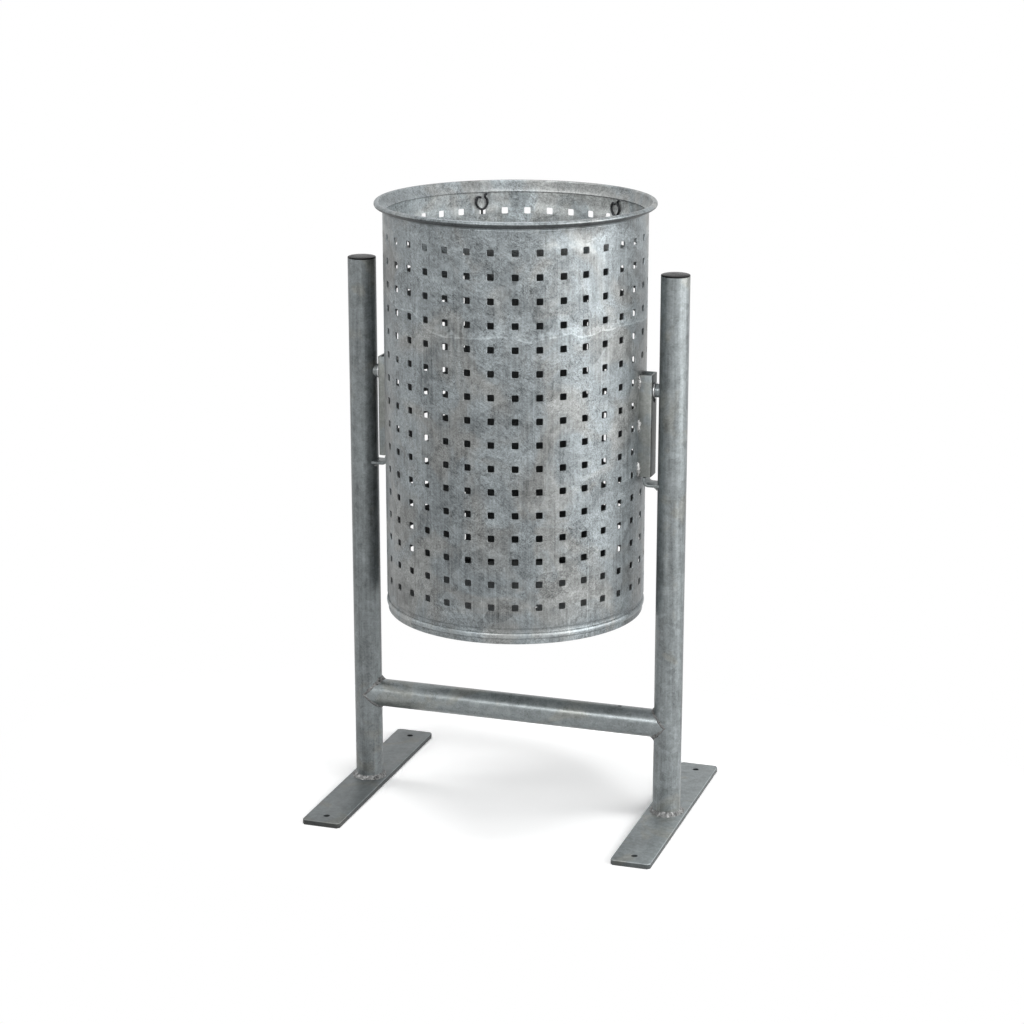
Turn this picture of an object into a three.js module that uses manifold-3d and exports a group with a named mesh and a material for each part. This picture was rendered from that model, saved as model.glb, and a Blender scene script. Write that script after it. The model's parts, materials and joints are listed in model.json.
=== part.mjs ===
// Round perforated litter bin, hung on two bolts between the posts of a welded tube stand.
// Lifting the bin frees its side channels from the lock tabs, and then it tips over to empty.
// Millimetres, +Z up, +X to the right post. The origin is on the ground under the bin's axis.

import * as THREE from "three";
import { mergeGeometries, mergeVertices } from "three/addons/utils/BufferGeometryUtils.js";
import Module from "manifold-3d";

const wasm = await Module();
wasm.setup();

// Fits.
const SEAT = 0.3; // air left between a piece and the one it is welded to or rests on
const RUN = 0.3; // running clearance round and beside the pivot bolts

// Stand.
const TUBE_DIAMETER = 42.4;
const TUBE_WALL = 2.6;
const POST_TOP = 830;
const CROSS_BAR_HEIGHT = 147; // the bar's centre line over the ground
const VENT_HOLE = 6; // lets the zinc bath in and out of the cross bar
const VENT_FROM_POST = 54; // from the wall of the right post to the vent hole
const PLATE_LENGTH = 410;
const PLATE_WIDTH = 60;
const PLATE_THICKNESS = 8;
const PLATE_CORNER = 6;
const ANCHOR_HOLE = 10;
const ANCHOR_INSET = 25; // from the plate's end to the hole's centre
const WELD_LEG = 5; // leg of the fillet welds on the stand
const CAP_THICKNESS = 2;
const CAP_CROWN = 1; // how far the cap's middle stands over its edge
const CAP_STEM = 15;
const CAP_FIT = 0.4; // between the cap's stem and the tube's bore

// Bin.
const BIN_DIAMETER = 387;
const BIN_BOTTOM = 313;
const BIN_HEIGHT = 615;
const SHEET = 2;
const RIM_DIAMETER = 412;
const RIM_FLARE = 11; // height of the flare under the rolled lip
const LIP_ROLL = 6; // diameter of the roll along the rim's edge
const FOOT_BAND = 9; // narrow band under the bead, where the floor's skirt sits
const BAND_DRAW_IN = 1.3; // how far the band is drawn in
const BEAD_HEIGHT = 9;
const GROOVE_HEIGHT = 8; // above the bead
const GROOVE_DEPTH = 2.2;
const FLOOR_RAISE = 11; // underside of the floor over the bin's lower edge
const DRAIN_HOLE = 12;
const DRAIN_CIRCLE = 120;
const DRAIN_COUNT = 4;

// Perforation: square holes in rows, one column of them on the +X side.
const HOLE = 9.8;
const COLUMNS = 35;
const ROWS = 16;
const ROW_PITCH = 34.3;
const TOP_ROW_BELOW_RIM = 45.5;

// Bag hooks: a bent wire on a short stem, four of them inside the rim.
const HOOK_WIRE = 3.6;
const HOOK_RING = 16; // width of the wire ring, centre to centre
const HOOK_BENDS = [
  [0.9, 1.7], [0.55, 1.2], [0.95, 0.55], [0.85, -0.4], [0, -1.05], [-0.85, -0.4], [-1, 0.5], [-0.6, 1.1],
  [-0.1, 0.95],
]; // the open ring's bends, across and up, in halves of its width
const HOOK_STEM = 8;
const HOOK_BELOW_RIM = 31; // from the rim to the ring's middle
const HOOK_ANGLE = 34; // degrees from straight back and straight front

// Pivots and locks.
const PIVOT_HEIGHT = 660;
const LIFT = 12; // travel that takes the channels clear of the lock tabs
const CHANNEL_WIDTH = 30;
const CHANNEL_DEPTH = 19; // from the bin's side to the outer face of the channel's web
const CHANNEL_WALL = 3;
const CHANNEL_LENGTH = 152;
const CHANNEL_ABOVE_PIVOT = 24.5;
const TACK_LEG = 3.5;
const TACK_LENGTH = 22;
const TACKS_PER_EDGE = 3;
const BOLT_DIAMETER = 12;
const BOLT_HEAD_FLATS = 18;
const BOLT_HEAD_HEIGHT = 7.5;
const BOLT_PAST_POST_WALL = 8;
const WASHER_DIAMETER = 24;
const WASHER_THICKNESS = 2.5;
const BOSS_DIAMETER = 20;
const BOSS_STANDOFF = 4.4; // from the boss's face to the post's side
const TAB_WIDTH = 28;
const TAB_THICKNESS = 4;
const TAB_BEND = 5; // inner radius of the bend
const TAB_RISE = 13.5; // from the tab's underside to its upturned end
const TAB_CLEARANCE = 1; // between the upturned end and the turning channel
const TAB_WELD_WIDTH = 20;

// Facets.
const TUBE_SIDES = 24;
const SMALL_SIDES = 16;
const WASHER_SIDES = 20;
const HEX = 6;
const WIRE_SIDES = 6;
const WIRE_STEPS = 18;
const BEND_STEPS = 5;

// Places worked out from the sizes above.
const QUARTER = Math.PI / 2;
const TURN = Math.PI * 2;
const tubeRadius = TUBE_DIAMETER / 2;
const binRadius = BIN_DIAMETER / 2;
const binTop = BIN_BOTTOM + BIN_HEIGHT;
const columnAngle = TURN / COLUMNS;
const channelFace = binRadius + CHANNEL_DEPTH;
const postSide = channelFace + RUN + WASHER_THICKNESS + RUN + BOSS_STANDOFF;
const postX = postSide + tubeRadius;
const channelBelowPivot = CHANNEL_LENGTH - CHANNEL_ABOVE_PIVOT;
const channelSweep = Math.hypot(channelBelowPivot, CHANNEL_WIDTH / 2);
const tabTop = PIVOT_HEIGHT - channelSweep - TAB_CLEARANCE;
const tabUnderside = tabTop - TAB_RISE;

const FINISHES = {
  galvanized_sheet: { color: 0x9ea4a8, roughness: 0.42, metalness: 0.85 },
  galvanized_tube: { color: 0x858c90, roughness: 0.55, metalness: 0.75 },
  weld: { color: 0xa9acac, roughness: 0.6, metalness: 0.7 },
  zinc_plated_bolt: { color: 0x8f9496, roughness: 0.35, metalness: 0.9 },
  hook_wire: { color: 0x3c4043, roughness: 0.5, metalness: 0.7 },
  black_plastic: { color: 0x151617, roughness: 0.45, metalness: 0 },
};

const litterBin = new THREE.Group();

function addPiece(group, name, geometry, finish) {
  const mesh = new THREE.Mesh(geometry, new THREE.MeshStandardMaterial(FINISHES[finish]));
  mesh.name = name;
  group.add(mesh);
}

// Joining and cutting.

function solidOf(geometry) {
  const bare = geometry.clone();
  bare.deleteAttribute("normal");
  bare.deleteAttribute("uv");
  const merged = mergeVertices(bare);
  return new wasm.Manifold(new wasm.Mesh({
    numProp: 3,
    vertProperties: Float32Array.from(merged.attributes.position.array),
    triVerts: Uint32Array.from(merged.index.array),
  }));
}

function geometryOf(solid) {
  const mesh = solid.getMesh();
  const geometry = new THREE.BufferGeometry();
  geometry.setAttribute("position", new THREE.BufferAttribute(mesh.vertProperties, mesh.numProp));
  geometry.setIndex(new THREE.BufferAttribute(mesh.triVerts, 1));
  geometry.computeVertexNormals();
  return geometry;
}

function cut(geometry, ...cutters) {
  const rest = cutters.reduce((solid, cutter) => solid.subtract(solidOf(cutter)), solidOf(geometry));
  return geometryOf(rest);
}

// Basic shapes.

function outerRadius(radius, sides) {
  return radius / Math.cos(Math.PI / sides); // corner radius of a polygon whose flats are at radius
}

function uprightRod(radius, bottom, top, sides) {
  const rod = new THREE.CylinderGeometry(radius, radius, top - bottom, sides);
  return rod.rotateX(QUARTER).translate(0, 0, (bottom + top) / 2);
}

function sidewaysRod(radius, from, to, sides, height) {
  const rod = new THREE.CylinderGeometry(radius, radius, to - from, sides);
  return rod.rotateZ(QUARTER).translate((from + to) / 2, 0, height);
}

function turned(profile, sides, start = 0) {
  const points = profile.map(([radius, height]) => new THREE.Vector2(radius, height));
  return new THREE.LatheGeometry(points, sides, start).rotateX(QUARTER);
}

function extruded(shape, depth, steps = BEND_STEPS) {
  return new THREE.ExtrudeGeometry(shape, { depth, bevelEnabled: false, curveSegments: steps });
}

function polygon(points) {
  return new THREE.Shape(points.map(([x, y]) => new THREE.Vector2(x, y)));
}

// A flat side of the bin faces +X, as the hole columns do.
const firstFacetEdge = QUARTER + columnAngle / 2;

function binCore(clearance) {
  const radius = binRadius + clearance;
  const core = [[0, 0], [radius, 0], [radius, binTop], [0, binTop]];
  return turned(core, COLUMNS, firstFacetEdge);
}

function postCore(clearance) {
  const radius = outerRadius(tubeRadius + clearance, TUBE_SIDES);
  return uprightRod(radius, 0, binTop, TUBE_SIDES).translate(postX, 0, 0);
}

function barCore(clearance) {
  const radius = outerRadius(tubeRadius + clearance, TUBE_SIDES);
  return sidewaysRod(radius, -postX, postX, TUBE_SIDES, CROSS_BAR_HEIGHT);
}

function boltHole(from, to) {
  const radius = outerRadius(BOLT_DIAMETER / 2 + RUN, SMALL_SIDES);
  return sidewaysRod(radius, from, to, SMALL_SIDES, PIVOT_HEIGHT);
}

// The stand: one side of it, built round the +X post.

function postTube() {
  const post = uprightRod(tubeRadius, PLATE_THICKNESS, POST_TOP, TUBE_SIDES);
  const bore = uprightRod(tubeRadius - TUBE_WALL, 0, POST_TOP + TUBE_WALL, TUBE_SIDES);
  return cut(post, bore, boltHole(-TUBE_DIAMETER, 0)).translate(postX, 0, 0);
}

function footPlate() {
  const x = PLATE_WIDTH / 2;
  const y = PLATE_LENGTH / 2;
  const c = PLATE_CORNER;
  const outline = polygon([
    [x - c, -y], [x, c - y], [x, y - c], [x - c, y], [c - x, y], [-x, y - c], [-x, c - y], [c - x, -y],
  ]);
  for (const end of [-1, 1]) {
    const hole = new THREE.Path();
    hole.absarc(0, end * (y - ANCHOR_INSET), ANCHOR_HOLE / 2, 0, TURN, true);
    outline.holes.push(hole);
  }
  return extruded(outline, PLATE_THICKNESS, SMALL_SIDES / 2).translate(postX, 0, 0);
}

function postCap() {
  const stem = tubeRadius - TUBE_WALL - CAP_FIT;
  const profile = [
    [0, -CAP_STEM], [stem, -CAP_STEM], [stem, 0], [tubeRadius, 0], [tubeRadius, CAP_THICKNESS - CAP_CROWN],
    [tubeRadius - CAP_CROWN, CAP_THICKNESS], [0, CAP_THICKNESS + CAP_CROWN],
  ];
  return turned(profile, TUBE_SIDES).translate(postX, 0, POST_TOP);
}

function footWeld() {
  const inner = tubeRadius + SEAT;
  const profile = [[inner, 0], [inner + WELD_LEG, 0], [inner, WELD_LEG], [inner, 0]];
  return turned(profile, TUBE_SIDES).translate(postX, 0, PLATE_THICKNESS);
}

function crossBarWeld() {
  const nearPost = solidOf(postCore(SEAT + WELD_LEG)).intersect(solidOf(barCore(SEAT + WELD_LEG)));
  const collar = nearPost.subtract(solidOf(postCore(SEAT))).subtract(solidOf(barCore(SEAT)));
  const farHalf = new THREE.BoxGeometry(TUBE_DIAMETER * 2, TUBE_DIAMETER * 2, TUBE_DIAMETER * 2);
  farHalf.translate(postX + TUBE_DIAMETER, 0, CROSS_BAR_HEIGHT);
  return geometryOf(collar.subtract(solidOf(farHalf)));
}

function pivotBoss() {
  const boss = sidewaysRod(BOSS_DIAMETER / 2, postSide - BOSS_STANDOFF, postX, WASHER_SIDES, PIVOT_HEIGHT);
  return cut(boss, postCore(SEAT), boltHole(0, postX));
}

function pivotBolt() {
  const underHead = channelFace - CHANNEL_WALL - RUN - WASHER_THICKNESS - RUN;
  const end = postSide + TUBE_WALL + BOLT_PAST_POST_WALL;
  const shank = sidewaysRod(
    BOLT_DIAMETER / 2, underHead - BOLT_HEAD_HEIGHT / 2, end, SMALL_SIDES, PIVOT_HEIGHT,
  );
  const headRadius = outerRadius(BOLT_HEAD_FLATS / 2, HEX);
  const head = sidewaysRod(headRadius, underHead - BOLT_HEAD_HEIGHT, underHead, HEX, PIVOT_HEIGHT);
  return geometryOf(solidOf(head).add(solidOf(shank)));
}

function washer(from) {
  const hole = outerRadius(BOLT_DIAMETER / 2 + RUN, WASHER_SIDES);
  const to = from + WASHER_THICKNESS;
  return cut(
    sidewaysRod(WASHER_DIAMETER / 2, from, to, WASHER_SIDES, PIVOT_HEIGHT),
    sidewaysRod(hole, from - WASHER_THICKNESS, to + WASHER_THICKNESS, WASHER_SIDES, PIVOT_HEIGHT),
  );
}

function lockTab() {
  const pocketMiddle = (binRadius + channelFace - CHANNEL_WALL) / 2;
  const inner = pocketMiddle + TAB_THICKNESS / 2;
  const outer = inner - TAB_THICKNESS;
  const top = tabUnderside + TAB_THICKNESS;
  const bendX = inner + TAB_BEND;
  const bendZ = top + TAB_BEND;
  const side = new THREE.Shape();
  side.moveTo(postX, tabUnderside);
  side.lineTo(postX, top);
  side.lineTo(bendX, top);
  side.absarc(bendX, bendZ, TAB_BEND, -QUARTER, -Math.PI, true);
  side.lineTo(inner, tabTop);
  side.lineTo(outer, tabTop);
  side.lineTo(outer, bendZ);
  side.absarc(bendX, bendZ, TAB_BEND + TAB_THICKNESS, -Math.PI, -QUARTER, false);
  const bar = extruded(side, TAB_WIDTH).rotateX(QUARTER).translate(0, TAB_WIDTH / 2, 0);
  return cut(bar, postCore(SEAT));
}

function lockTabWeld() {
  const top = tabUnderside - SEAT;
  const root = postSide + tubeRadius / 2;
  const fillet = polygon([
    [postSide - WELD_LEG, top], [root, top - (root - postSide + WELD_LEG)], [root, top],
  ]);
  const bead = extruded(fillet, TAB_WELD_WIDTH).rotateX(QUARTER).translate(0, TAB_WELD_WIDTH / 2, 0);
  return cut(bead, postCore(SEAT));
}

// The bin's own pieces on one side.

function sideChannel(turnedBy) {
  const y = CHANNEL_WIDTH / 2;
  const innerY = y - CHANNEL_WALL;
  const inside = channelFace - CHANNEL_WALL;
  const root = binRadius - CHANNEL_WALL;
  const section = polygon([
    [root, -y], [channelFace, -y], [channelFace, y], [root, y],
    [root, innerY], [inside, innerY], [inside, -innerY], [root, -innerY],
  ]);
  const channel = extruded(section, CHANNEL_LENGTH).translate(0, 0, PIVOT_HEIGHT - channelBelowPivot);
  const slotTop = boltHole(inside - CHANNEL_WALL, channelFace + CHANNEL_WALL);
  const slotBottom = slotTop.clone().translate(0, 0, -LIFT);
  const slotMiddle = new THREE.BoxGeometry(CHANNEL_WALL * 3, BOLT_DIAMETER + 2 * RUN, LIFT);
  slotMiddle.translate(inside + CHANNEL_WALL / 2, 0, PIVOT_HEIGHT - LIFT / 2);
  return cut(channel, binCore(SEAT).rotateZ(-turnedBy), slotTop, slotMiddle, slotBottom);
}

function tackWeld(turnedBy, edge, index) {
  const y = CHANNEL_WIDTH / 2 + SEAT;
  const wallX = Math.sqrt(binRadius ** 2 - y ** 2);
  const fillet = polygon([
    [wallX + TACK_LEG, edge * y],
    [wallX - TACK_LEG, edge * y],
    [wallX - TACK_LEG, edge * (y + TACK_LEG * 2)],
  ]);
  const bottom = PIVOT_HEIGHT - channelBelowPivot;
  const step = (CHANNEL_LENGTH - TACK_LENGTH) / (TACKS_PER_EDGE - 1);
  const bead = extruded(fillet, TACK_LENGTH).translate(0, 0, bottom + index * step);
  return cut(bead, binCore(SEAT).rotateZ(-turnedBy));
}

for (const [side, turnedBy] of [["right", 0], ["left", Math.PI]]) {
  const group = new THREE.Group();
  group.rotation.z = turnedBy;
  litterBin.add(group);
  addPiece(group, `${side}_post`, postTube(), "galvanized_tube");
  addPiece(group, `${side}_post_cap`, postCap(), "black_plastic");
  addPiece(group, `${side}_foot_plate`, footPlate(), "galvanized_tube");
  addPiece(group, `${side}_foot_weld`, footWeld(), "weld");
  addPiece(group, `${side}_cross_bar_weld`, crossBarWeld(), "weld");
  addPiece(group, `${side}_pivot_boss`, pivotBoss(), "galvanized_tube");
  addPiece(group, `${side}_pivot_bolt`, pivotBolt(), "zinc_plated_bolt");
  addPiece(group, `${side}_outer_washer`, washer(channelFace + RUN), "zinc_plated_bolt");
  const innerWasherFrom = channelFace - CHANNEL_WALL - RUN - WASHER_THICKNESS;
  addPiece(group, `${side}_inner_washer`, washer(innerWasherFrom), "zinc_plated_bolt");
  addPiece(group, `${side}_lock_tab`, lockTab(), "galvanized_tube");
  addPiece(group, `${side}_lock_tab_weld`, lockTabWeld(), "weld");
  addPiece(group, `${side}_channel`, sideChannel(turnedBy), "galvanized_sheet");
  for (const [edgeName, edge] of [["near", -1], ["far", 1]]) {
    for (let index = 0; index < TACKS_PER_EDGE; index += 1) {
      const name = `${side}_channel_weld_${edgeName}_${index + 1}`;
      addPiece(group, name, tackWeld(turnedBy, edge, index), "weld");
    }
  }
}

function crossBar() {
  const length = postX;
  const bore = sidewaysRod(tubeRadius - TUBE_WALL, -length, length, TUBE_SIDES, CROSS_BAR_HEIGHT);
  const bar = sidewaysRod(tubeRadius, -length, length, TUBE_SIDES, CROSS_BAR_HEIGHT);
  const ventTop = CROSS_BAR_HEIGHT + TUBE_DIAMETER;
  const vent = uprightRod(VENT_HOLE / 2, CROSS_BAR_HEIGHT, ventTop, SMALL_SIDES);
  vent.translate(postSide - VENT_FROM_POST, 0, 0);
  return cut(bar, bore, postCore(SEAT), postCore(SEAT).rotateZ(Math.PI), vent);
}

addPiece(litterBin, "cross_bar", crossBar(), "galvanized_tube");

// The bin's shell and floor.

function wallOutline() {
  const bandTop = BIN_BOTTOM + FOOT_BAND;
  const beadTop = bandTop + BEAD_HEIGHT;
  const grooveTop = beadTop + GROOVE_HEIGHT;
  const rimRadius = RIM_DIAMETER / 2;
  const flareTop = binTop - LIP_ROLL;
  const outside = [
    [binRadius - BAND_DRAW_IN, BIN_BOTTOM],
    [binRadius - BAND_DRAW_IN, bandTop],
    [binRadius, bandTop + BEAD_HEIGHT / 3],
    [binRadius, beadTop - BEAD_HEIGHT / 3],
    [binRadius - GROOVE_DEPTH, (beadTop + grooveTop) / 2],
    [binRadius, grooveTop],
    [binRadius, flareTop - RIM_FLARE],
  ];
  const lip = [
    [rimRadius - LIP_ROLL / 2, flareTop],
    [rimRadius, flareTop + LIP_ROLL / 2],
    [rimRadius - LIP_ROLL / 2, binTop],
    [rimRadius - LIP_ROLL, binTop - LIP_ROLL / 4],
  ];
  const inside = outside.map(([radius, height]) => [radius - SHEET, height]).reverse();
  return [...outside, ...lip, ...inside, outside[0]];
}

function holeCutters() {
  const cutters = [];
  for (let row = 0; row < ROWS; row += 1) {
    const height = binTop - TOP_ROW_BELOW_RIM - row * ROW_PITCH;
    for (let column = 0; column < COLUMNS; column += 1) {
      const punch = new THREE.BoxGeometry(SHEET * 4, HOLE, HOLE);
      cutters.push(punch.translate(binRadius - SHEET / 2, 0, height).rotateZ(column * columnAngle));
    }
  }
  return mergeGeometries(cutters);
}

function binFloor() {
  const radius = binRadius - BAND_DRAW_IN - SHEET - SEAT;
  const underside = BIN_BOTTOM + FLOOR_RAISE;
  const profile = [
    [0, underside], [radius - SHEET, underside], [radius - SHEET, BIN_BOTTOM], [radius, BIN_BOTTOM],
    [radius, underside + SHEET], [0, underside + SHEET],
  ];
  const drains = [];
  for (let drain = 0; drain < DRAIN_COUNT; drain += 1) {
    const hole = uprightRod(DRAIN_HOLE / 2, BIN_BOTTOM, underside + 2 * SHEET, SMALL_SIDES);
    drains.push(hole.translate(DRAIN_CIRCLE / 2, 0, 0).rotateZ((drain + 0.5) * (TURN / DRAIN_COUNT)));
  }
  return cut(turned(profile, COLUMNS, firstFacetEdge), ...drains);
}

const rolledWall = turned(wallOutline(), COLUMNS, firstFacetEdge);
addPiece(litterBin, "bin_wall", cut(rolledWall, holeCutters()), "galvanized_sheet");
addPiece(litterBin, "bin_floor", binFloor(), "galvanized_sheet");

// The bag hooks, each drawn in the plane of the wall with its back to +Y.

function bagHook() {
  const half = HOOK_RING / 2;
  const bends = HOOK_BENDS.map(([x, z]) => new THREE.Vector3(x * half, 0, z * half));
  const section = new THREE.Shape();
  section.absarc(0, 0, HOOK_WIRE / 2, 0, TURN);
  const wire = new THREE.ExtrudeGeometry(section, {
    steps: WIRE_STEPS,
    curveSegments: WIRE_SIDES / 2, // a full circle gets twice this many sides
    extrudePath: new THREE.CatmullRomCurve3(bends),
  });
  const stem = uprightRod(HOOK_WIRE / 2, -half - HOOK_STEM, -half, WIRE_SIDES);
  return geometryOf(solidOf(wire).add(solidOf(stem)));
}

const wallInside = (binRadius - SHEET) * Math.cos(columnAngle / 2);
const hookRadius = wallInside - SEAT - HOOK_WIRE / 2;
const hookTurn = THREE.MathUtils.degToRad(HOOK_ANGLE);
const hookTurns = {
  back_right: -hookTurn,
  back_left: hookTurn,
  front_left: Math.PI - hookTurn,
  front_right: Math.PI + hookTurn,
};
for (const [place, angle] of Object.entries(hookTurns)) {
  const hook = bagHook().translate(0, hookRadius, binTop - HOOK_BELOW_RIM).rotateZ(angle);
  addPiece(litterBin, `bag_hook_${place}`, hook, "hook_wire");
}

export default litterBin;
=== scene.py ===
import json
from math import atan2, cos, hypot, pi, radians, sin, sqrt, tau

import bmesh
import bpy
from mathutils import Matrix, Vector, noise


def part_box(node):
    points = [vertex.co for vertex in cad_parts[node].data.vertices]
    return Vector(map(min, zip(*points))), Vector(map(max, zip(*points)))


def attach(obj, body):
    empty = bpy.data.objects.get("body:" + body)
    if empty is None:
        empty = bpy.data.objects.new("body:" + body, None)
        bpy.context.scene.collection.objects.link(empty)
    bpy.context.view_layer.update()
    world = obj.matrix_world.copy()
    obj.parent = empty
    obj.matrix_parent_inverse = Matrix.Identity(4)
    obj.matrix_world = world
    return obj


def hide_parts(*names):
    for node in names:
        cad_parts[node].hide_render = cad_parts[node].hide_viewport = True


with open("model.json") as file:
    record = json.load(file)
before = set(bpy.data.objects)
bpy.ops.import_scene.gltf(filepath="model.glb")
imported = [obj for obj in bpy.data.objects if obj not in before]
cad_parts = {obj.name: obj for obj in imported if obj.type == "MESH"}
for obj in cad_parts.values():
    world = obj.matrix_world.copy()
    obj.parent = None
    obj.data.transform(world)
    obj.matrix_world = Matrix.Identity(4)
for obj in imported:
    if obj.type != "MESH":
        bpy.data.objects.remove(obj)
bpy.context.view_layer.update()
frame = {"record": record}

# Foot plates.
# Each post stands on a length of flat steel bar, sawn off with its corners clipped and drilled at
# both ends for the ground anchors. Posts, plates and cross bar are welded up as one stand, and the
# whole stand is then dipped in molten zinc, which leaves a dull, clouded grey skin.

plate_low, plate_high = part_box("right_foot_plate")
plate_middle = (plate_low + plate_high) / 2
plate_corner = 0.004
plate_edge = 0.0006
anchor_hole = 0.010
anchor_inset = 0.025  # from the plate's end to the hole's centre
# The two plates are the same zinc: the right one is painted lighter (painted light), the left one darker
# (painted shade).
plate_lit_and_shaded_tones = {"right": 0.275, "left": 0.160}
zinc_metal = 0.6  # share of the mirror-like reflection in weathered zinc
side_turns = {"right": 0.0, "left": pi}  # the left half of the stand is the right half turned round


class Shade:
    """A number or colour that varies over a surface; numbers can be used in ordinary sums."""

    def __init__(self, finish, socket):
        self.finish = finish
        self.socket = socket

    def worked(self, operation, first, second):
        return self.finish.node("ShaderNodeMath", {"operation": operation}, {0: first, 1: second})

    def __add__(self, other):
        return self.worked("ADD", self, other)

    def __radd__(self, other):
        return self.worked("ADD", other, self)

    def __sub__(self, other):
        return self.worked("SUBTRACT", self, other)

    def __rsub__(self, other):
        return self.worked("SUBTRACT", other, self)

    def __mul__(self, other):
        return self.worked("MULTIPLY", self, other)

    def __rmul__(self, other):
        return self.worked("MULTIPLY", other, self)


class Finish:
    """One surface finish: a material and the nodes that paint it."""

    def __init__(self, name):
        self.material = bpy.data.materials.new(name)
        self.material.use_nodes = True
        self.nodes = self.material.node_tree.nodes
        self.links = self.material.node_tree.links
        self.nodes.clear()

    def node(self, kind, settings=None, inputs=None, output=0):
        made = self.nodes.new(kind)
        for setting, value in (settings or {}).items():
            setattr(made, setting, value)
        for socket, value in (inputs or {}).items():
            if isinstance(value, Shade):
                self.links.new(value.socket, made.inputs[socket])
            else:
                made.inputs[socket].default_value = value
        return Shade(self, made.outputs[output]) if made.outputs else None

    def place(self, stretch=(1, 1, 1), move=(0, 0, 0)):
        """The point on the piece, squeezed or stretched along its axes."""
        point = self.node("ShaderNodeTexCoord", output="Object")
        return self.node(
            "ShaderNodeMapping", None, {"Vector": point, "Scale": stretch, "Location": move}
        )

    def along(self, where, axis):
        """How far the point lies along one axis, in metres."""
        return self.node("ShaderNodeSeparateXYZ", None, {"Vector": where}, axis)

    def towards(self, where, way):
        """How far the point lies in a slanting direction, in metres."""
        return self.node(
            "ShaderNodeVectorMath", {"operation": "DOT_PRODUCT"}, {0: where, 1: way}, "Value"
        )

    def slanted(self, where, turn):
        """The same point, turned about the Y axis."""
        return self.node(
            "ShaderNodeVectorRotate", {"rotation_type": "Y_AXIS"}, {"Vector": where, "Angle": turn}
        )

    def clouds(self, where, scale, detail=3.0, roughness=0.55, distortion=0.0, output="Fac"):
        """Soft patches about 1 / scale metres across, from 0 to 1."""
        return self.node(
            "ShaderNodeTexNoise",
            None,
            {
                "Vector": where, "Scale": scale, "Detail": detail, "Roughness": roughness,
                "Distortion": distortion,
            },
            output,
        )

    def between(self, value, low, high):
        """0 below low, 1 above high, and a smooth rise from one to the other."""
        return self.node(
            "ShaderNodeMapRange",
            {"interpolation_type": "SMOOTHSTEP"},
            {"Value": value, "From Min": low, "From Max": high},
        )

    def mixed(self, amount, first, second):
        """The first colour, turning into the second where the amount is 1."""
        return self.node(
            "ShaderNodeMix", {"data_type": "RGBA"}, {0: amount, 6: first, 7: second}, 2
        )

    def tinted(self, colour, amount):
        """A colour made lighter or darker by an amount."""
        return self.node("ShaderNodeVectorMath", {"operation": "SCALE"}, {0: colour, "Scale": amount})

    def bump(self, height, depth):
        """A relief as deep in metres as the height goes from 0 to 1."""
        return self.node("ShaderNodeBump", None, {"Height": height, "Distance": depth, "Strength": 1.0})

    def surface(self, **inputs):
        """Puts the skin on: named inputs of the surface shader, with _ for a space."""
        named = {name.replace("_", " "): value for name, value in inputs.items()}
        skin = self.node("ShaderNodeBsdfPrincipled", None, named)
        self.node("ShaderNodeOutputMaterial", None, {"Surface": skin})
        return self.material


zinc_crystal = 0.011  # metres across
needle_stretch = 0.2  # a needle is this much thinner than it is long


def zinc_crystals(finish, where, size):
    """Frozen zinc: patches, each with a lightness of its own and needles lying its own way."""
    wander = finish.clouds(where, 0.6 / size, 2.0, output="Color")
    bent = finish.node(
        "ShaderNodeVectorMath",
        {"operation": "MULTIPLY_ADD"},
        {0: wander, 1: (size * 0.9,) * 3, 2: where},
    )
    patch = finish.node(
        "ShaderNodeTexVoronoi", {"feature": "F1"}, {"Vector": bent, "Scale": 1 / size}, "Color"
    )
    lightness = finish.node("ShaderNodeSeparateColor", None, {"Color": patch}, "Red")
    turn = finish.tinted(patch, tau)
    lying = finish.node(
        "ShaderNodeVectorRotate", {"rotation_type": "EULER_XYZ"}, {"Vector": bent, "Rotation": turn}
    )
    drawn = finish.node("ShaderNodeMapping", None, {"Vector": lying, "Scale": (1, 1, needle_stretch)})
    needles = finish.clouds(drawn, 4.2 / size, 3.0, 0.65)
    return lightness, needles


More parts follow.
